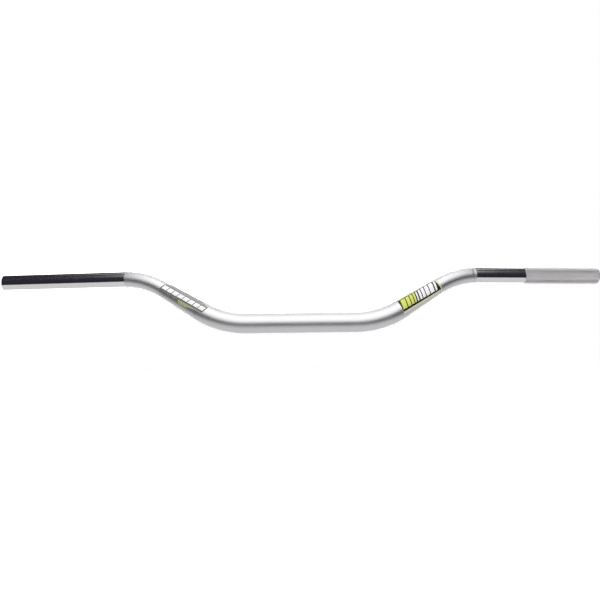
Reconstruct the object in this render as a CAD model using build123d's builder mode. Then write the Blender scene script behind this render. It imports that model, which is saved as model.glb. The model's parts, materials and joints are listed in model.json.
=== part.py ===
from build123d import *
from math import cos, radians, sin, tan
import os

os.makedirs("parts", exist_ok=True)

# Oversize tapered motorcycle handlebar without a crossbar. Millimetres and degrees.
# The origin is the middle of the clamp zone, on the tube's axis. +X points to the clutch end,
# +Y to the rider and +Z up, with the bar leaned back as far as the fork is.

# Tube sections
clamp_diameter = 28.6
grip_diameter = 22.2
clamp_bore = 20.6
grip_bore = 14.2
end_chamfer_outside = 0.8
end_chamfer_inside = 0.4

# Centreline. Heights and sweep are measured from the plane that the middle of the bar rises in.
clamp_straight = 140.0
bend_radius = 108.0
rise_angle = 32.8
corner_spacing = 122.3
end_height = 90.2
end_sweep = 55.4
end_span = 809.0
lean_back = 27.0

# Layered vinyl labels, one on the front of each slope. They read from left to right as seen from
# the front: outwards from the thick end of the slope on the clutch side, and inwards from its thin
# end on the throttle side. A point on a label is its distance along the slope and its height
# above the label's middle line. An outline is its bottom line and its top line. It stands off the
# tube's axis as far as outline_reach, which is past the outermost film.
label_roll = 22.0
film_thickness = 0.15
ink_thickness = 0.10
outline_reach = 15.3

# Clutch-side label: a pale border film, a dark panel on it, and two groups of leaning bars
border_outline = (((-1.3, -11.4), (61.2, -9.6)), ((-0.1, 7.6), (61.0, 7.2)))
panel_outline = (((-0.9, -8.9), (59.9, -8.1)), ((0.2, 6.9), (58.2, 6.6)))
clutch_lean = 0.27
clutch_bar_top = 5.8
clutch_bar_bottom = -6.6
clutch_bar_gap = 1.3
lime_bars_start = 2.1
lime_bar_widths = (6.4, 4.8, 3.7, 2.7)
white_bars_start = 29.3
white_bar_widths = (3.2, 4.2, 5.2, 6.0)
divider_start = 25.3
divider_width = 2.0
last_bar_start = 53.6
last_bar_width = 2.8

# Throttle-side label: a grey shade, a dark outline on it with a row of leaning bars, and below
# them a flash that runs out to a thin tail
shade_outline = (((-1.4, -5.0), (66.4, -5.0)), ((1.8, 4.2), (11.0, 8.6), (57.0, 8.6), (69.8, 4.9)))
dark_outline = (((-1.2, -4.8), (66.2, -4.8)), ((2.0, 3.9), (69.4, 3.9)))
throttle_lean = 0.36
throttle_bar_top = 2.9
throttle_bar_bottom = -3.0
throttle_bar_gap = 1.0
throttle_bars_start = 2.0
throttle_bar_widths = (7.2,) * 8
flash_outline = (
    ((31.0, -9.0), (41.0, -8.8), (55.6, -6.6)),
    ((28.4, -5.3), (42.0, -5.3), (56.6, -5.5)),
)

clamp_radius = clamp_diameter / 2
grip_radius = grip_diameter / 2
rise_plane = Plane(
    origin=(0, 0, 0),
    x_dir=(1, 0, 0),
    z_dir=(0, -cos(radians(lean_back)), sin(radians(lean_back))),
)

# The corners that the bends round off, on the clutch side
lower_corner_x = clamp_straight / 2 + bend_radius * tan(radians(rise_angle / 2))
upper_corner_x = lower_corner_x + corner_spacing * cos(radians(rise_angle))
upper_corner_height = corner_spacing * sin(radians(rise_angle))

with BuildLine(rise_plane) as centreline:
    FilletPolyline(
        (0, 0, 0),
        (lower_corner_x, 0, 0),
        (upper_corner_x, upper_corner_height, 0),
        (end_span / 2, end_height, -end_sweep),
        radius=bend_radius,
    )
clamp_run, lower_bend, slope, upper_bend, grip_run = centreline.edges().sort_by(Axis.X)


def section_plane(run):
    """Plane across the start of a stretch of the centreline, facing along it."""
    return Plane(origin=run @ 0, z_dir=run % 0)


def lay_cone(start_plane, start_radius, end_radius, mode):
    """Cone as long as the slope, from the given plane along its normal."""
    with Locations(start_plane.location):
        Cone(
            start_radius,
            end_radius,
            slope.length,
            align=(Align.CENTER, Align.CENTER, Align.MIN),
            mode=mode,
        )


def lay_half_bar(clamp_end_radius, grip_end_radius, mode):
    """Round stock along the clutch half: full size, a cone on the slope, then the small size."""
    stretches = (
        (clamp_run, clamp_end_radius),
        (lower_bend, clamp_end_radius),
        (upper_bend, grip_end_radius),
        (grip_run, grip_end_radius),
    )
    for run, radius in stretches:
        with BuildSketch(section_plane(run)) as section:
            Circle(radius)
        sweep(section.sketch, path=run, mode=mode)
    lay_cone(section_plane(slope), clamp_end_radius, grip_end_radius, mode)


def label_plane(start, along):
    """Plane through the slope's axis, x along it, that looks out of the middle of the label."""
    front = Vector(0, -1, 0)
    outward = front - along * front.dot(along)
    rolled = outward.rotate(Axis((0, 0, 0), along), -label_roll)
    return Plane(origin=start, x_dir=along, z_dir=rolled)


def label_stock(growth):
    """Solid round stock of the clutch side's slope and the bends beside it, larger all round."""
    with BuildPart() as stock:
        for bend, radius in ((lower_bend, clamp_radius), (upper_bend, grip_radius)):
            with BuildSketch(section_plane(bend)) as section:
                Circle(radius + growth)
            sweep(section.sketch, path=bend)
        lay_cone(section_plane(slope), clamp_radius + growth, grip_radius + growth, Mode.ADD)
    return stock.part


def wrap_film(floor, ceiling):
    """Stand the pending outline off its plane and keep the film of it between two round stocks."""
    extrude(amount=outline_reach)
    add(ceiling, mode=Mode.INTERSECT)
    add(floor, mode=Mode.SUBTRACT)


def lay_outline(outline):
    """Polygon between a bottom line and a top line, both from left to right."""
    bottom, top = outline
    Polygon(*bottom, *reversed(top), align=None)


def lay_bar(start, width, bottom, top, lean):
    """Leaning bar. Its start is measured on the label's middle line."""
    lower_left = start + lean * bottom
    upper_left = start + lean * top
    lay_outline(
        (
            ((lower_left, bottom), (lower_left + width, bottom)),
            ((upper_left, top), (upper_left + width, top)),
        )
    )


def lay_bars(start, widths, gap, bottom, top, lean):
    """Row of leaning bars, from left to right."""
    for width in widths:
        lay_bar(start, width, bottom, top, lean)
        start += width + gap


# One drawn, tapered and bent aluminium tube, hollow from end to end
with BuildPart() as bar_tube:
    lay_half_bar(clamp_radius, grip_radius, Mode.ADD)
    lay_half_bar(clamp_bore / 2, grip_bore / 2, Mode.SUBTRACT)
    end_face = faces().filter_by(GeomType.PLANE).sort_by(Axis.X)[-1]
    chamfer(end_face.outer_wire().edges(), length=end_chamfer_outside)
    end_face = faces().filter_by(GeomType.PLANE).sort_by(Axis.X)[-1]
    chamfer(end_face.inner_wires()[0].edges(), length=end_chamfer_inside)
    mirror(about=Plane.YZ)
bar_tube.part.label = "bar_tube"
export_step(bar_tube.part, "parts/bar_tube.step")

# The labels' layers lie between round stocks that are larger than the tube by these steps
layer_levels = (
    0,
    film_thickness,
    film_thickness + ink_thickness,
    film_thickness + 2 * ink_thickness,
)
clutch_stocks = [label_stock(level) for level in layer_levels]
throttle_stocks = [mirror(stock, about=Plane.YZ) for stock in clutch_stocks]

clutch_plane = label_plane(slope @ 0, slope % 0)
outer_end = slope @ 1
outward_run = slope % 1
throttle_plane = label_plane(
    Vector(-outer_end.X, outer_end.Y, outer_end.Z),
    Vector(outward_run.X, -outward_run.Y, -outward_run.Z),
)

with BuildPart() as label_clutch_border:
    with BuildSketch(clutch_plane):
        lay_outline(border_outline)
    wrap_film(clutch_stocks[0], clutch_stocks[1])
label_clutch_border.part.label = "label_clutch_border"
export_step(label_clutch_border.part, "parts/label_clutch_border.step")

with BuildPart() as label_clutch_panel:
    with BuildSketch(clutch_plane):
        lay_outline(panel_outline)
    wrap_film(clutch_stocks[1], clutch_stocks[2])
label_clutch_panel.part.label = "label_clutch_panel"
export_step(label_clutch_panel.part, "parts/label_clutch_panel.step")

with BuildPart() as label_clutch_lime_bars:
    with BuildSketch(clutch_plane):
        lay_bars(
            lime_bars_start,
            lime_bar_widths,
            clutch_bar_gap,
            clutch_bar_bottom,
            clutch_bar_top,
            clutch_lean,
        )
    wrap_film(clutch_stocks[2], clutch_stocks[3])
label_clutch_lime_bars.part.label = "label_clutch_lime_bars"
export_step(label_clutch_lime_bars.part, "parts/label_clutch_lime_bars.step")

with BuildPart() as label_clutch_white_bars:
    with BuildSketch(clutch_plane):
        lay_bar(divider_start, divider_width, clutch_bar_bottom, clutch_bar_top, clutch_lean)
        lay_bars(
            white_bars_start,
            white_bar_widths,
            clutch_bar_gap,
            clutch_bar_bottom,
            clutch_bar_top,
            clutch_lean,
        )
        lay_bar(last_bar_start, last_bar_width, clutch_bar_bottom, clutch_bar_top, clutch_lean)
    wrap_film(clutch_stocks[2], clutch_stocks[3])
label_clutch_white_bars.part.label = "label_clutch_white_bars"
export_step(label_clutch_white_bars.part, "parts/label_clutch_white_bars.step")

with BuildPart() as label_throttle_shade:
    with BuildSketch(throttle_plane):
        lay_outline(shade_outline)
    wrap_film(throttle_stocks[0], throttle_stocks[1])
label_throttle_shade.part.label = "label_throttle_shade"
export_step(label_throttle_shade.part, "parts/label_throttle_shade.step")

with BuildPart() as label_throttle_outline:
    with BuildSketch(throttle_plane):
        lay_outline(dark_outline)
    wrap_film(throttle_stocks[1], throttle_stocks[2])
label_throttle_outline.part.label = "label_throttle_outline"
export_step(label_throttle_outline.part, "parts/label_throttle_outline.step")

with BuildPart() as label_throttle_white_bars:
    with BuildSketch(throttle_plane):
        lay_bars(
            throttle_bars_start,
            throttle_bar_widths,
            throttle_bar_gap,
            throttle_bar_bottom,
            throttle_bar_top,
            throttle_lean,
        )
    wrap_film(throttle_stocks[2], throttle_stocks[3])
label_throttle_white_bars.part.label = "label_throttle_white_bars"
export_step(label_throttle_white_bars.part, "parts/label_throttle_white_bars.step")

with BuildPart() as label_throttle_lime_flash:
    with BuildSketch(throttle_plane):
        lay_outline(flash_outline)
    wrap_film(throttle_stocks[0], throttle_stocks[1])
label_throttle_lime_flash.part.label = "label_throttle_lime_flash"
export_step(label_throttle_lime_flash.part, "parts/label_throttle_lime_flash.step")
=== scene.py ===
"""Looks of an oversize tapered motocross handlebar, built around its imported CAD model.

Lengths are in metres, in the CAD frame: the origin is the middle of the clamp zone, +X points to
the clutch side, +Y to the rider and +Z up.
"""
import json
import math

import bpy
import numpy as np
from mathutils import Matrix, Vector


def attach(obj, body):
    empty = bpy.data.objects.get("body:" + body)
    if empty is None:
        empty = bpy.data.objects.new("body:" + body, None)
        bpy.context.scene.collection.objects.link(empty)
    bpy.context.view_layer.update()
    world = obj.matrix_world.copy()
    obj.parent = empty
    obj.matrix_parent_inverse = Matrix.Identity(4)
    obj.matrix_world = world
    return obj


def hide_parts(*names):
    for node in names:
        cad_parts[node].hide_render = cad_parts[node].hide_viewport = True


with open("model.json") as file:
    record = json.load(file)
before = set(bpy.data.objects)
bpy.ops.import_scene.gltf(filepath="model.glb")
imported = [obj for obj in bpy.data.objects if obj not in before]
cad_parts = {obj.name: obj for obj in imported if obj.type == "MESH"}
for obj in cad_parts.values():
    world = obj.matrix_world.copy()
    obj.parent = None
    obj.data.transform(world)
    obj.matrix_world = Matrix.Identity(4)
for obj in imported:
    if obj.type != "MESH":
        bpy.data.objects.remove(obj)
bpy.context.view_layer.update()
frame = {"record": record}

MM = 0.001
MOUNTS = {mount["name"]: mount for mount in frame["record"]["mounts"]}
X_AXIS = np.array([1.0, 0.0, 0.0])
FRONT = np.array([0.0, -1.0, 0.0])

# ---------------------------------------------------------------- dimensions
BEND_RADIUS = 108 * MM
END_CHAMFER = 0.8 * MM
BORE_CHAMFER = 0.4 * MM
CLAMP_RADIUS = MOUNTS["clamp_zone"]["dims"]["r_mm"] * MM
CLAMP_HALF = MOUNTS["clamp_zone"]["dims"]["length_mm"] * MM / 2
GRIP_RADIUS = MOUNTS["clutch_control_zone"]["dims"]["r_mm"] * MM
GRIP_RUN = MOUNTS["clutch_control_zone"]["dims"]["length_mm"] * MM + END_CHAMFER
GRIP_BORE = MOUNTS["clutch_bar_end_bore"]["dims"]["r_mm"] * MM
CLAMP_BORE = 10.3 * MM

# Points round a ring, and how far apart the rings are
AROUND = 96
KNURL_AROUND = 2 * AROUND
PLAIN_STEP = 6 * MM
SATIN_STEP = 2.2 * MM
ROUNDING_STEPS = 5

# Clutch-side knurl. Its length takes in the plain land between it and the tube's end.
KNURL_LENGTH = 111 * MM
KNURL_STEP = 0.4 * MM
KNURL_PEAK = 0.04 * MM
KNURL_DEPTH = 0.26 * MM
KNURL_LEAD_IN = 0.8 * MM
KNURL_RUN_OUT = 0.6 * MM
END_LAND = 2.0 * MM

# The polish starts this far before the grip's straight run, and its rings keep clear of the
# satin's border, of the tube's end and of the knurl
POLISH_LEAD = 3.4 * MM
BORDER_CLEARANCE = 1 * MM
END_CLEARANCE = 2 * MM

# Gauge lines on the clutch side, by how far before the polish they lie. The even rings of the
# satin stop at the clearance, to leave room for them.
GAUGE_LINES = (3.4 * MM, 1.9 * MM)
GAUGE_WIDTH = 0.6 * MM
GAUGE_DEPTH = 0.05 * MM
GAUGE_CLEARANCE = 5 * MM


def unit(v):
    return v / np.linalg.norm(v)


# ---------------------------------------------------------------- centreline
# Which of Centreline.marks is where
CLAMP_STOP, SLOPE_START, SLOPE_STOP, GRIP_START, TUBE_END = range(5)


def solve_corners(clamp_end, grip_start, grip_axis):
    """The two corners that the bends round off, between the straight runs of the mounts."""
    lower, upper = clamp_end, grip_start
    for _ in range(60):
        slope = unit(upper - lower)
        lower_turn = math.acos(slope @ X_AXIS)
        upper_turn = math.acos(slope @ grip_axis)
        lower = clamp_end + X_AXIS * BEND_RADIUS * math.tan(lower_turn / 2)
        upper = grip_start - grip_axis * BEND_RADIUS * math.tan(upper_turn / 2)
    return lower, upper


class Centreline:
    """The tube's axis by distance from the middle: positive on the clutch side."""

    def __init__(self):
        zone = MOUNTS["clutch_control_zone"]
        self.grip_axis = unit(np.array(zone["axis"], float))
        half_wall = zone["dims"]["length_mm"] * MM / 2
        grip_middle = np.array(zone["pos_m"], float)
        self.grip_start = grip_middle - self.grip_axis * (half_wall + END_CHAMFER / 2)
        clamp_end = X_AXIS * CLAMP_HALF
        lower, upper = solve_corners(clamp_end, self.grip_start, self.grip_axis)
        self.slope_axis = unit(upper - lower)
        lower_turn = math.acos(self.slope_axis @ X_AXIS)
        upper_turn = math.acos(self.slope_axis @ self.grip_axis)
        lower_tangent = BEND_RADIUS * math.tan(lower_turn / 2)
        upper_tangent = BEND_RADIUS * math.tan(upper_turn / 2)
        slope_length = np.linalg.norm(upper - lower) - lower_tangent - upper_tangent
        self.slope_start = lower + self.slope_axis * lower_tangent
        self.upper_start = upper - self.slope_axis * upper_tangent
        self.clamp_end = clamp_end
        lengths = (
            CLAMP_HALF,
            BEND_RADIUS * lower_turn,
            slope_length,
            BEND_RADIUS * upper_turn,
            GRIP_RUN,
        )
        self.marks = np.cumsum(lengths)

    def bend(self, start, turn_from, turn_to, distance):
        """Point and direction after a distance round a bend."""
        inward = unit(turn_to - (turn_to @ turn_from) * turn_from)
        angle = distance / BEND_RADIUS
        forward = math.sin(angle) * turn_from
        sideways = (1 - math.cos(angle)) * inward
        point = start + BEND_RADIUS * (forward + sideways)
        return point, math.cos(angle) * turn_from + math.sin(angle) * inward

    def clutch_side(self, distance):
        """Point and outward direction on the clutch half."""
        clamp, lower, slope, upper, _ = self.marks
        if distance <= clamp:
            return X_AXIS * distance, X_AXIS
        if distance <= lower:
            return self.bend(self.clamp_end, X_AXIS, self.slope_axis, distance - clamp)
        if distance <= slope:
            return self.slope_start + self.slope_axis * (distance - lower), self.slope_axis
        if distance <= upper:
            return self.bend(self.upper_start, self.slope_axis, self.grip_axis, distance - slope)
        return self.grip_start + self.grip_axis * (distance - upper), self.grip_axis

    def frame_at(self, place):
        """Point, then the directions that face the front and up across the tube there."""
        point, along = self.clutch_side(abs(place))
        if place < 0:
            point = point * [-1, 1, 1]
            along = along * [1, -1, -1]
        front = unit(FRONT - (FRONT @ along) * along)
        return point, front, np.cross(front, along)

    def taper(self, place, clamp_size, grip_size):
        """Full size at the clamp, a plain cone on the slope, then the grip size."""
        slope_start, slope_stop = self.marks[SLOPE_START], self.marks[SLOPE_STOP]
        share = (abs(place) - slope_start) / (slope_stop - slope_start)
        return clamp_size + (grip_size - clamp_size) * min(max(share, 0), 1)

    def radius(self, place):
        return self.taper(place, CLAMP_RADIUS, GRIP_RADIUS)

    def bore_radius(self, place):
        return self.taper(place, CLAMP_BORE, GRIP_BORE)


axis = Centreline()
END = axis.marks[TUBE_END]
CONTROL_START = axis.marks[GRIP_START] - POLISH_LEAD
KNURL_END = END - END_LAND
KNURL_START = END - KNURL_LENGTH


# ---------------------------------------------------------------- mesh helpers
def new_object(name, points, faces, materials, face_material=None, flat=None):
    """Mesh object. Faces are smooth, but for those that flat marks."""
    mesh = bpy.data.meshes.new(name)
    mesh.from_pydata([tuple(p) for p in points], [], faces)
    for material in materials:
        mesh.materials.append(material)
    if face_material is not None:
        mesh.polygons.foreach_set("material_index", np.array(face_material, np.int32))
    smooth = np.ones(len(mesh.polygons), bool)
    if flat is not None:
        smooth &= ~np.array(flat, bool)
    mesh.polygons.foreach_set("use_smooth", smooth)
    mesh.update()
    piece = bpy.data.objects.new(name, mesh)
    bpy.context.scene.collection.objects.link(piece)
    return piece


def ring_points(place, radii):
    """Points of one ring across the tube, evenly spread, one for each radius."""
    point, front, up = axis.frame_at(place)
    angles = np.arange(len(radii)) * 2 * math.pi / len(radii)
    spokes = np.outer(np.cos(angles), front) + np.outer(np.sin(angles), up)
    return point + spokes * radii[:, None]


def even_steps(start, stop, step):
    """Even places from start to stop, both of them included, about a step apart."""
    count = max(1, round(abs(stop - start) / step))
    return list(np.linspace(start, stop, count + 1))


# ---------------------------------------------------------------- tube
# Finishes of the tube, in the order of its materials
SATIN, POLISH, LAND, FLANK, BORE = range(5)


class Skin:
    """Rings joined one after the other into a closed tube."""

    def __init__(self):
        self.rings = []
        self.points = []
        self.faces = []
        self.kinds = []

    def ring(self, place, radii, kind):
        """Add a ring. kind is the finish of the band between it and the next ring."""
        self.rings.append((len(self.points), len(radii), kind))
        self.points.extend(ring_points(place, radii))

    def round_ring(self, place, radius, kind):
        self.ring(place, np.full(AROUND, radius), kind)

    def outer_ring(self, place, kind, lift=0.0):
        """Round ring on the tube's outside, or off it by a lift."""
        self.round_ring(place, axis.radius(place) + lift, kind)

    def add(self, kind, *faces):
        self.faces.extend(faces)
        self.kinds.extend([kind] * len(faces))

    def join(self, first, second, kind):
        """Band between two rings. One of them may have twice the points of the other."""
        start, count, _ = first
        next_start, next_count, _ = second
        if count == next_count:
            for j in range(count):
                k = (j + 1) % count
                self.add(kind, (start + j, start + k, next_start + k, next_start + j))
            return
        widening = count < next_count
        coarse, fine = (start, next_start) if widening else (next_start, start)
        for j in range(AROUND):
            left, right = coarse + j, coarse + (j + 1) % AROUND
            fine_left = fine + 2 * j
            fine_right = fine + (2 * j + 2) % KNURL_AROUND
            middle = fine_left + 1
            triangles = (
                (left, middle, fine_left),
                (left, right, middle),
                (right, fine_right, middle),
            )
            if not widening:
                triangles = [triangle[::-1] for triangle in triangles]
            self.add(kind, *triangles)

    def join_knurl(self, first, second, row, low, next_low):
        """Band of the knurl: each cell's crease lies along its groove, or along its land's edge."""
        start, next_start = first[0], second[0]
        for j in range(KNURL_AROUND):
            k = (j + 1) % KNURL_AROUND
            corners = (start + j, start + k, next_start + k, next_start + j)
            lows = (low[j], low[k], next_low[k], next_low[j])
            even = (row + j) % 2
            groove = lows[even] and lows[even + 2]
            turn = even if groove else 1 - even
            for first_spot in (turn, turn + 2):
                spots = [(first_spot + step) % 4 for step in range(3)]
                kind = FLANK if any(lows[spot] for spot in spots) else LAND
                self.add(kind, tuple(corners[spot] for spot in spots))


def rounded_end():
    """Place and lift of the rings round the tube's end, from the outside towards the end face."""
    for i in range(ROUNDING_STEPS + 1):
        angle = math.pi / 2 * i / ROUNDING_STEPS
        yield END - END_CHAMFER * (1 - math.sin(angle)), -END_CHAMFER * (1 - math.cos(angle))


def knurl_lows(row):
    """Which points of a knurl row are at the bottom of one of the two crossing sets of grooves."""
    column = np.arange(KNURL_AROUND)
    return ((column + row) % 4 == 0) | ((column - row) % 4 == 0)


def lay_throttle_half(skin):
    """Throttle end, its polished control zone, and the peened middle as far as the gauge lines."""
    for place, lift in reversed(list(rounded_end())):
        skin.outer_ring(-place, POLISH, lift)
    polish_stop = -CONTROL_START - BORDER_CLEARANCE
    for place in even_steps(-END + END_CLEARANCE, polish_stop, PLAIN_STEP):
        skin.outer_ring(place, POLISH)
    marks = list(axis.marks[:GRIP_START])
    stops = [-CONTROL_START, *(-mark for mark in reversed(marks)), *marks]
    stops.append(CONTROL_START - GAUGE_CLEARANCE)
    for start, stop in zip(stops, stops[1:]):
        for place in even_steps(start, stop, SATIN_STEP)[:-1]:
            skin.outer_ring(place, SATIN)


def lay_clutch_zone(skin):
    """Gauge lines, then the polished control zone on the clutch side."""
    for line in GAUGE_LINES:
        for share, lift in ((-0.5, 0), (-0.2, -GAUGE_DEPTH), (0.2, -GAUGE_DEPTH), (0.5, 0)):
            skin.outer_ring(CONTROL_START - line + share * GAUGE_WIDTH, SATIN, lift)
    skin.outer_ring(CONTROL_START, POLISH)
    polish_start = CONTROL_START + BORDER_CLEARANCE
    for place in even_steps(polish_start, KNURL_START - END_CLEARANCE, PLAIN_STEP):
        skin.outer_ring(place, POLISH)


def lay_knurl(skin):
    """Knurl between two narrow plain lands, and the clutch end. Gives the low points of each
    knurl row, by the index of its ring."""
    rows = {}
    skin.outer_ring(KNURL_START - KNURL_LEAD_IN, LAND)
    for row, place in enumerate(even_steps(KNURL_START, KNURL_END, KNURL_STEP)):
        low = knurl_lows(row)
        rows[len(skin.rings)] = (row, low)
        skin.ring(place, GRIP_RADIUS + KNURL_PEAK - KNURL_DEPTH * low, LAND)
    skin.outer_ring(KNURL_END + KNURL_RUN_OUT, LAND)
    for place, lift in rounded_end():
        skin.outer_ring(place, LAND, lift)
    return rows


def lay_bore(skin):
    """The bore, from the clutch end back to the throttle end."""
    stops = [END - BORE_CHAMFER, *reversed(axis.marks[:TUBE_END])]
    stops += [-stop for stop in reversed(stops)]
    skin.round_ring(END, GRIP_BORE + BORE_CHAMFER, BORE)
    for start, stop in zip(stops, stops[1:]):
        for place in even_steps(start, stop, PLAIN_STEP)[:-1]:
            skin.round_ring(place, axis.bore_radius(place), BORE)
    skin.round_ring(-END + BORE_CHAMFER, GRIP_BORE, BORE)
    skin.round_ring(-END, GRIP_BORE + BORE_CHAMFER, BORE)


def build_tube(finishes):
    skin = Skin()
    lay_throttle_half(skin)
    lay_clutch_zone(skin)
    knurl_rows = lay_knurl(skin)
    lay_bore(skin)
    for index, ring in enumerate(skin.rings):
        following = skin.rings[(index + 1) % len(skin.rings)]
        if index in knurl_rows and index + 1 in knurl_rows:
            row, low = knurl_rows[index]
            next_low = knurl_rows[index + 1][1]
            skin.join_knurl(ring, following, row, low, next_low)
        else:
            skin.join(ring, following, ring[2])
    flat = np.isin(skin.kinds, (LAND, FLANK))
    piece = new_object("bar_tube_skin", skin.points, skin.faces, finishes, skin.kinds, flat)
    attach(piece, "root")
    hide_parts("bar_tube")


# ---------------------------------------------------------------- labels
CLUTCH, THROTTLE = 1, -1
LABEL_ROLL = math.radians(22)
FILM = 0.15 * MM
INK = 0.10 * MM
FILM_COLUMN = 1.0 * MM
FILM_ROW = 0.5 * MM
FEWEST_COLUMNS = 4
FEWEST_ROWS = 6
EDGE_ROUND = 0.12 * MM
# Rounded edge, from underneath to the face: rise as a share of the film's thickness, and inset
# as a share of EDGE_ROUND
EDGE_LAYERS = ((0.0, 0.0), (0.6, 0.0), (0.9, 0.35), (1.0, 1.0))

# Labels, in millimetres, as in the CAD model: a point is its distance along the slope and its
# height above the label's middle line, and an outline is a bottom line and a top line
BORDER = (((-1.3, -11.4), (61.2, -9.6)), ((-0.1, 7.6), (61.0, 7.2)))
PANEL = (((-0.9, -8.9), (59.9, -8.1)), ((0.2, 6.9), (58.2, 6.6)))
CLUTCH_BARS = {"bottom": -6.6, "top": 5.8, "lean": 0.27}
CLUTCH_BAR_GAP = 1.3
LIME_BARS_START = 2.1
LIME_BAR_WIDTHS = (6.4, 4.8, 3.7, 2.7)
WHITE_BARS_START = 29.3
WHITE_BAR_WIDTHS = (3.2, 4.2, 5.2, 6.0)
DIVIDER = (25.3, 2.0)
LAST_BAR = (53.6, 2.8)
SHADE = (((-1.4, -5.0), (66.4, -5.0)), ((1.8, 4.2), (11.0, 8.6), (57.0, 8.6), (69.8, 4.9)))
OUTLINE = (((-1.2, -4.8), (66.2, -4.8)), ((2.0, 3.9), (69.4, 3.9)))
THROTTLE_BARS = {"bottom": -3.0, "top": 2.9, "lean": 0.36}
THROTTLE_BAR_GAP = 1.0
THROTTLE_BARS_START = 2.0
THROTTLE_BAR_WIDTHS = (7.2,) * 8
FLASH = (((31.0, -9.0), (41.0, -8.8), (55.6, -6.6)), ((28.4, -5.3), (42.0, -5.3), (56.6, -5.5)))


def label_point(side, along, height, lift):
    """Point over the slope. along runs left to right as seen from the front, from the slope's end,
    and height is measured up from the label's middle line, square to the way the label looks."""
    slope_start, slope_stop = axis.marks[SLOPE_START], axis.marks[SLOPE_STOP]
    place = slope_start + along if side == CLUTCH else along - slope_stop
    point, front, up = axis.frame_at(place)
    radius = axis.radius(place)
    angle = LABEL_ROLL + math.asin(height / radius)
    return point + (radius + lift) * (math.cos(angle) * front + math.sin(angle) * up)


def spot_between(line, share):
    """Point at a share of the length of a line of two or more points."""
    reach = np.concatenate([[0], np.cumsum(np.linalg.norm(np.diff(line, axis=0), axis=1))])
    return np.array([np.interp(share * reach[-1], reach, values) for values in line.T])


class Film:
    """Thin film between two lines, with rounded edges and closed underneath. A spot on it is its
    column and its row."""

    def __init__(self, side, bottom, top, level, thickness):
        self.side = side
        self.bottom = np.array(bottom, float) * MM
        self.top = np.array(top, float) * MM
        self.level = level
        self.thickness = thickness
        self.middle = np.concatenate([self.bottom, self.top]).mean(0)
        length = np.linalg.norm(self.bottom[-1] - self.bottom[0])
        height = self.top[:, 1].max() - self.bottom[:, 1].min()
        self.columns = max(FEWEST_COLUMNS, round(length / FILM_COLUMN))
        self.rows = max(FEWEST_ROWS, round(height / FILM_ROW))

    def point(self, spot, rise, inset):
        across, upward = spot[0] / self.columns, spot[1] / self.rows
        low = spot_between(self.bottom, across)
        high = spot_between(self.top, across)
        place = low * (1 - upward) + high * upward
        offset = self.middle - place
        place = place + np.sign(offset) * np.minimum(np.abs(offset), EDGE_ROUND * inset)
        return label_point(self.side, *place, self.level + self.thickness * rise)

    def rim(self):
        """Spots round the edge, from the lower left corner."""
        us, vs = range(self.columns + 1), range(self.rows + 1)
        spots = [(u, 0) for u in us[:-1]]
        spots += [(self.columns, v) for v in vs[:-1]]
        spots += [(u, self.rows) for u in us[:0:-1]]
        spots += [(0, v) for v in vs[:0:-1]]
        return spots

    def add_to(self, points, faces):
        rim = self.rim()
        first = len(points)
        for rise, inset in EDGE_LAYERS:
            points.extend(self.point(spot, rise, inset) for spot in rim)
        for layer in range(len(EDGE_LAYERS) - 1):
            low = first + layer * len(rim)
            high = low + len(rim)
            for j in range(len(rim)):
                k = (j + 1) % len(rim)
                faces.append((low + j, low + k, high + k, high + j))
        for layer, turned in ((len(EDGE_LAYERS) - 1, False), (0, True)):
            start = first + layer * len(rim)
            grid = {spot: start + n for n, spot in enumerate(rim)}
            self.fill(grid, EDGE_LAYERS[layer], turned, points, faces)

    def fill(self, grid, edge_layer, turned, points, faces):
        """Face or underside of the film. grid has the index of each rim point."""
        for u in range(1, self.columns):
            for v in range(1, self.rows):
                grid[u, v] = len(points)
                points.append(self.point((u, v), *edge_layer))
        for u in range(self.columns):
            for v in range(self.rows):
                quad = (grid[u, v], grid[u + 1, v], grid[u + 1, v + 1], grid[u, v + 1])
                faces.append(quad[::-1] if turned else quad)


def add_film(node, material, side, outlines, level, thickness):
    """Piece of films, one for each outline, which is its bottom line and its top line, both from
    left to right."""
    points, faces = [], []
    for bottom, top in outlines:
        Film(side, bottom, top, level, thickness).add_to(points, faces)
    piece = new_object(node + "_print", points, faces, [material])
    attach(piece, "root")
    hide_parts(node)


def leaning_bar(start, width, bottom, top, lean):
    """Outline of a bar that leans along the slope. Its start is measured on the middle line."""
    low, high = start + lean * bottom, start + lean * top
    return ((low, bottom), (low + width, bottom)), ((high, top), (high + width, top))


def bar_row(start, widths, gap, shape):
    """Outlines of a row of leaning bars, from left to right."""
    outlines = []
    for width in widths:
        outlines.append(leaning_bar(start, width, **shape))
        start += width + gap
    return outlines


# ---------------------------------------------------------------- materials
def new_material(name):
    material = bpy.data.materials.new(name)
    material.use_nodes = True
    tree = material.node_tree
    return material, tree, tree.nodes["Principled BSDF"]


def link(tree, output, target):
    tree.links.new(output, target)


def add_node(tree, kind, **settings):
    node = tree.nodes.new(kind)
    for key, value in settings.items():
        setattr(node, key, value)
    return node


def object_space(tree):
    return add_node(tree, "ShaderNodeTexCoord").outputs["Object"]


def noise(tree, vector, scale, detail=3.0, roughness=0.55):
    """Cloudy pattern from 0 to 1. scale is its repeats in a metre."""
    node = add_node(tree, "ShaderNodeTexNoise")
    node.inputs["Scale"].default_value = scale
    node.inputs["Detail"].default_value = detail
    node.inputs["Roughness"].default_value = roughness
    link(tree, vector, node.inputs["Vector"])
    return node.outputs["Fac"]


def ranged(tree, value, low, high):
    """Value between low and high, for one between 0 and 1."""
    node = add_node(tree, "ShaderNodeMapRange")
    node.inputs["To Min"].default_value = low
    node.inputs["To Max"].default_value = high
    link(tree, value, node.inputs["Value"])
    return node.outputs["Result"]


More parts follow.
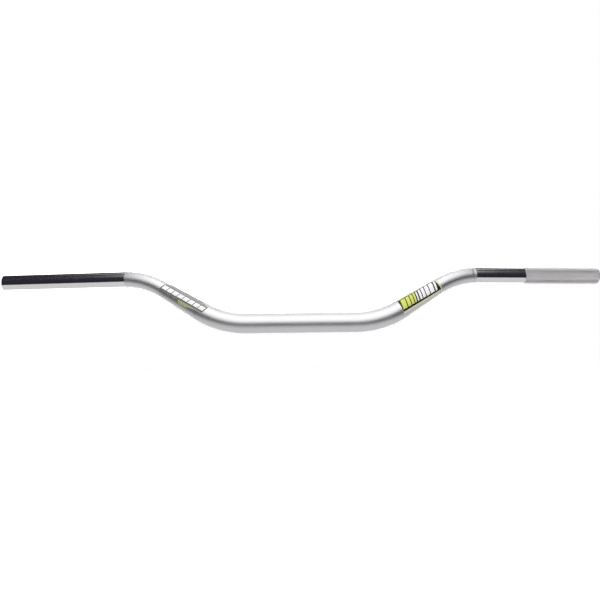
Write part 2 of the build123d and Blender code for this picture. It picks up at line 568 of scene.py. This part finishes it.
def bump(tree, height, distance, strength):
    node = add_node(tree, "ShaderNodeBump")
    node.inputs["Strength"].default_value = strength
    node.inputs["Distance"].default_value = distance
    link(tree, height, node.inputs["Height"])
    return node.outputs["Normal"]


def mixed_colour(tree, share, first, second):
    node = add_node(tree, "ShaderNodeMix", data_type="RGBA")
    first_input, second_input = node.inputs[6], node.inputs[7]
    first_input.default_value = (*first, 1)
    second_input.default_value = (*second, 1)
    link(tree, share, node.inputs["Factor"])
    return node.outputs[2]


def make_satin():
    """Shot-peened, clear-anodised aluminium: fine dimples, with a faint unevenness of the blast."""
    material, tree, shader = new_material("satin_aluminium")
    place = object_space(tree)
    cloud = noise(tree, place, scale=38.0)
    dimples = add_node(tree, "ShaderNodeTexVoronoi", feature="SMOOTH_F1")
    dimples.inputs["Scale"].default_value = 1500.0
    link(tree, place, dimples.inputs["Vector"])
    link(tree, mixed_colour(tree, cloud, (0.80, 0.80, 0.805), (0.86, 0.86, 0.865)),
         shader.inputs["Base Color"])
    link(tree, ranged(tree, cloud, 0.40, 0.45), shader.inputs["Roughness"])
    relief = bump(tree, dimples.outputs["Distance"], distance=0.03 * MM, strength=0.35)
    link(tree, relief, shader.inputs["Normal"])
    shader.inputs["Metallic"].default_value = 1.0
    return material


def make_polish():
    """Bare control zones: bright drawn tube with faint lines round it from the polishing belt."""
    material, tree, shader = new_material("polished_aluminium")
    place = object_space(tree)
    smudge = noise(tree, place, scale=45.0)
    stretch = add_node(tree, "ShaderNodeMapping")
    stretch.inputs["Scale"].default_value = (900.0, 6.0, 6.0)
    link(tree, place, stretch.inputs["Vector"])
    lines = noise(tree, stretch.outputs["Vector"], scale=1.0, detail=2.0, roughness=0.6)
    link(tree, mixed_colour(tree, lines, (0.83, 0.82, 0.84), (0.90, 0.895, 0.90)),
         shader.inputs["Base Color"])
    link(tree, ranged(tree, smudge, 0.10, 0.14), shader.inputs["Roughness"])
    shader.inputs["Metallic"].default_value = 1.0
    return material


# How much lighter the lightest patches of the knurl are
KNURL_CLOUD = 1.15


def make_knurl(name, colour):
    """Knurled clutch-side grip zone: the same metal with a dull grain."""
    material, tree, shader = new_material(name)
    place = object_space(tree)
    grain = noise(tree, place, scale=900.0)
    cloud = noise(tree, place, scale=40.0)
    lighter = tuple(KNURL_CLOUD * channel for channel in colour)
    link(tree, mixed_colour(tree, cloud, colour, lighter), shader.inputs["Base Color"])
    link(tree, ranged(tree, grain, 0.36, 0.50), shader.inputs["Roughness"])
    link(tree, bump(tree, grain, distance=0.01 * MM, strength=0.4), shader.inputs["Normal"])
    shader.inputs["Metallic"].default_value = 1.0
    return material


def make_bore():
    """Inside of the tube: a dull drawn surface with a fine grain."""
    material, tree, shader = new_material("bore_aluminium")
    place = object_space(tree)
    grain = noise(tree, place, scale=300.0, detail=4.0)
    link(tree, mixed_colour(tree, grain, (0.50, 0.50, 0.50), (0.66, 0.66, 0.66)),
         shader.inputs["Base Color"])
    link(tree, ranged(tree, grain, 0.34, 0.5), shader.inputs["Roughness"])
    link(tree, bump(tree, grain, distance=0.03 * MM, strength=0.4), shader.inputs["Normal"])
    shader.inputs["Metallic"].default_value = 1.0
    return material


def make_vinyl(name, colour, lighter, roughness):
    """Printed vinyl under a clear laminate, with a slight orange peel and uneven ink."""
    material, tree, shader = new_material(name)
    place = object_space(tree)
    ink = noise(tree, place, scale=420.0, detail=4.0)
    peel = noise(tree, place, scale=260.0, detail=2.0)
    link(tree, mixed_colour(tree, ink, colour, lighter), shader.inputs["Base Color"])
    link(tree, ranged(tree, peel, roughness * 0.8, roughness * 1.2), shader.inputs["Roughness"])
    link(tree, bump(tree, peel, distance=0.02 * MM, strength=0.3), shader.inputs["Normal"])
    shader.inputs["Specular IOR Level"].default_value = 0.35
    shader.inputs["Coat Weight"].default_value = 0.25
    shader.inputs["Coat Roughness"].default_value = 0.25
    return material


def make_tube():
    satin = make_satin()
    polish = make_polish()
    land = make_knurl("knurl_land", (0.80, 0.785, 0.79))
    # The groove flanks are the same metal as the lands, painted a little darker: painted shade in
    # the knurl's grooves.
    flank = make_knurl("knurl_flank", (0.78, 0.765, 0.77))
    build_tube([satin, polish, land, flank, make_bore()])


def make_labels():
    black = make_vinyl("black_vinyl", (0.006, 0.006, 0.004), (0.014, 0.014, 0.010), 0.45)
    dark = make_vinyl("dark_grey_vinyl", (0.070, 0.072, 0.058), (0.105, 0.107, 0.090), 0.40)
    grey = make_vinyl("grey_vinyl", (0.20, 0.20, 0.19), (0.26, 0.26, 0.25), 0.40)
    white = make_vinyl("white_vinyl", (0.58, 0.57, 0.59), (0.67, 0.66, 0.68), 0.35)
    lime = make_vinyl("lime_vinyl", (0.40, 0.44, 0.055), (0.49, 0.53, 0.10), 0.35)
    olive = make_vinyl("olive_vinyl", (0.22, 0.26, 0.10), (0.29, 0.32, 0.16), 0.40)
    pale = make_vinyl("pale_vinyl", (0.40, 0.41, 0.26), (0.48, 0.49, 0.34), 0.40)
    lime_bars = bar_row(LIME_BARS_START, LIME_BAR_WIDTHS, CLUTCH_BAR_GAP, CLUTCH_BARS)
    white_bars = [leaning_bar(*DIVIDER, **CLUTCH_BARS)]
    white_bars += bar_row(WHITE_BARS_START, WHITE_BAR_WIDTHS, CLUTCH_BAR_GAP, CLUTCH_BARS)
    white_bars += [leaning_bar(*LAST_BAR, **CLUTCH_BARS)]
    throttle_bars = bar_row(
        THROTTLE_BARS_START, THROTTLE_BAR_WIDTHS, THROTTLE_BAR_GAP, THROTTLE_BARS
    )
    over = FILM + INK
    add_film("label_clutch_border", pale, CLUTCH, [BORDER], 0, FILM)
    add_film("label_clutch_panel", black, CLUTCH, [PANEL], FILM, INK)
    add_film("label_clutch_lime_bars", lime, CLUTCH, lime_bars, over, INK)
    add_film("label_clutch_white_bars", white, CLUTCH, white_bars, over, INK)
    add_film("label_throttle_shade", grey, THROTTLE, [SHADE], 0, FILM)
    add_film("label_throttle_outline", dark, THROTTLE, [OUTLINE], FILM, INK)
    add_film("label_throttle_white_bars", white, THROTTLE, throttle_bars, over, INK)
    add_film("label_throttle_lime_flash", olive, THROTTLE, [FLASH], 0, FILM)


# ---------------------------------------------------------------- studio
FLOOR_HALF = 6.0
FLOOR_HEIGHT = -0.60

# What the metal mirrors: angles in degrees, levels as radiance where 1 is white
GLOOM = 0.030
GLOOM_TINT = (0.80, 0.70, 1.0)
SWEEP = {"angle": 51, "side_softness": 2, "top": 60, "top_softness": 13.6, "level": 3.0}
SHADED = {"angle": 36, "side_softness": 8, "top": 14, "top_softness": 10, "loss": 0.80}
TABLE = {"edge": -26.5, "softness": 2, "level": 0.66}
CEILING = {"edge": 64.6, "softness": 5, "level": 1.06}
BOX = {"elevation": 42, "width": 33.4, "height": 30, "softness": 9.3, "level": 1.41}


def make_floor():
    material, tree, shader = new_material("pale_floor")
    tint = noise(tree, object_space(tree), scale=3.0, detail=2.0)
    link(tree, mixed_colour(tree, tint, (0.90, 0.90, 0.90), (0.93, 0.93, 0.93)),
         shader.inputs["Base Color"])
    shader.inputs["Roughness"].default_value = 0.9
    corners = [(FLOOR_HALF * x, FLOOR_HALF * y, FLOOR_HEIGHT)
               for x, y in ((-1, -1), (1, -1), (1, 1), (-1, 1))]
    floor = new_object("floor", corners, [(0, 1, 2, 3)], [material])
    floor.visible_glossy = False


def add_sun(name, aim, energy, softness):
    """Even light for the floor and the labels, left out of the metal's reflections."""
    data = bpy.data.lights.new(name, "SUN")
    data.energy = energy
    data.angle = math.radians(softness)
    lamp = bpy.data.objects.new(name, data)
    lamp.rotation_euler = Vector(aim).to_track_quat("-Z", "Y").to_euler()
    lamp.visible_glossy = False
    bpy.context.scene.collection.objects.link(lamp)


def smooth_step(tree, value, low, high, to_low, to_high):
    """Soft step from to_low to to_high, as the value goes from low to high."""
    node = add_node(tree, "ShaderNodeMapRange", interpolation_type="SMOOTHSTEP")
    node.inputs["From Min"].default_value = low
    node.inputs["From Max"].default_value = high
    node.inputs["To Min"].default_value = to_low
    node.inputs["To Max"].default_value = to_high
    link(tree, value, node.inputs["Value"])
    return node.outputs["Result"]


def math_node(tree, operation, first, second=0.0):
    """Result of an operation on two values, each a number or a socket."""
    node = add_node(tree, "ShaderNodeMath", operation=operation)
    for socket, value in zip(node.inputs, (first, second)):
        if isinstance(value, (int, float)):
            socket.default_value = value
        else:
            link(tree, value, socket)
    return node.outputs[0]


def make_world():
    """White to the eye. The metal mirrors the studio: a dim room behind the camera, a white sweep
    behind the bar that is shaded in its middle, a pale table below, a soft box over the front and
    a bright ceiling."""
    world = bpy.data.worlds.new("studio")
    world.use_nodes = True
    tree = world.node_tree
    tree.nodes.clear()
    direction = add_node(tree, "ShaderNodeTexCoord").outputs["Generated"]
    split = add_node(tree, "ShaderNodeSeparateXYZ")
    link(tree, direction, split.inputs["Vector"])
    elevation = math_node(tree, "ARCSINE", split.outputs["Z"])
    from_back = math_node(tree, "ARCCOSINE", split.outputs["Y"])

    def ramp(value, middle, softness, low, high):
        """Soft step between two levels, round an angle in degrees."""
        return smooth_step(tree, value, math.radians(middle - softness),
                           math.radians(middle + softness), low, high)

    def disc(shape):
        """1 within an angle of straight behind and below a height, and 0 beyond them."""
        return math_node(tree, "MULTIPLY",
                         ramp(from_back, shape["angle"], shape["side_softness"], 1, 0),
                         ramp(elevation, shape["top"], shape["top_softness"], 1, 0))

    sweep = disc(SWEEP)
    not_sweep = math_node(tree, "SUBTRACT", 1.0, sweep)
    loss = math_node(tree, "MULTIPLY", disc(SHADED), SHADED["loss"])
    sweep = math_node(tree, "MULTIPLY", sweep, math_node(tree, "SUBTRACT", 1.0, loss))
    table = math_node(tree, "MULTIPLY", not_sweep,
                      ramp(elevation, TABLE["edge"], TABLE["softness"], TABLE["level"], 0))
    ceiling = ramp(elevation, CEILING["edge"], CEILING["softness"], 0, CEILING["level"])
    total = math_node(tree, "MULTIPLY", sweep, SWEEP["level"])
    for part in (table, ceiling, soft_box(tree, direction)):
        total = math_node(tree, "ADD", total, part)

    lit = add_node(tree, "ShaderNodeBackground")
    lit.inputs["Color"].default_value = (1, 1, 1, 1)
    link(tree, total, lit.inputs["Strength"])
    gloom = add_node(tree, "ShaderNodeBackground")
    gloom.inputs["Color"].default_value = (*GLOOM_TINT, 1)
    gloom.inputs["Strength"].default_value = GLOOM
    both = add_node(tree, "ShaderNodeAddShader")
    link(tree, lit.outputs[0], both.inputs[0])
    link(tree, gloom.outputs[0], both.inputs[1])
    white_back = add_node(tree, "ShaderNodeBackground")
    white_back.inputs["Color"].default_value = (1, 1, 1, 1)
    path = add_node(tree, "ShaderNodeLightPath")
    mix = add_node(tree, "ShaderNodeMixShader")
    link(tree, path.outputs["Is Camera Ray"], mix.inputs["Fac"])
    link(tree, both.outputs[0], mix.inputs[1])
    link(tree, white_back.outputs[0], mix.inputs[2])
    output = add_node(tree, "ShaderNodeOutputWorld")
    link(tree, mix.outputs[0], output.inputs["Surface"])
    bpy.context.scene.world = world


def soft_box(tree, direction):
    """Rectangular light over the front, seen in perspective from the bar."""
    lift = math.radians(BOX["elevation"])
    aim = (0.0, -math.cos(lift), math.sin(lift))
    across = {"width": (1.0, 0.0, 0.0), "height": (0.0, math.sin(lift), math.cos(lift))}

    def along(axis_vector):
        """How far the direction reaches along an axis."""
        dot = add_node(tree, "ShaderNodeVectorMath", operation="DOT_PRODUCT")
        link(tree, direction, dot.inputs[0])
        dot.inputs[1].default_value = axis_vector
        return dot.outputs["Value"]

    depth = math_node(tree, "MAXIMUM", along(aim), 0.001)
    light = None
    soft = math.tan(math.radians(BOX["softness"]))
    for side, axis_vector in across.items():
        slant = math_node(tree, "DIVIDE", along(axis_vector), depth)
        offset = math_node(tree, "ABSOLUTE", slant)
        reach = math.tan(math.radians(BOX[side]))
        inside = smooth_step(tree, offset, reach - soft, reach + soft, 1, 0)
        light = inside if light is None else math_node(tree, "MULTIPLY", light, inside)
    return math_node(tree, "MULTIPLY", light, BOX["level"])


# ---------------------------------------------------------------- camera
SENSOR_MM = 36.0
LENS_MM = 69.6
CAMERA_PLACE = Vector((0.0036, -1.4982, 0.0740))
CAMERA_TARGET = Vector((-0.0010, 0.0450, 0.0284))
CAMERA_ROLL = math.radians(-0.68)


def make_camera():
    data = bpy.data.cameras.new("camera")
    data.sensor_width = SENSOR_MM
    data.lens = LENS_MM
    camera = bpy.data.objects.new("camera", data)
    look = (CAMERA_TARGET - CAMERA_PLACE).to_track_quat("-Z", "Y").to_matrix().to_4x4()
    turn = Matrix.Rotation(CAMERA_ROLL, 4, "Z")
    camera.matrix_world = Matrix.Translation(CAMERA_PLACE) @ look @ turn
    bpy.context.scene.collection.objects.link(camera)
    bpy.context.scene.camera = camera


make_tube()
make_labels()
make_floor()
add_sun("key", aim=(0.1, 0.25, -1.0), energy=3.0, softness=60)
make_world()
make_camera()
bpy.context.scene.view_settings.view_transform = "Standard"
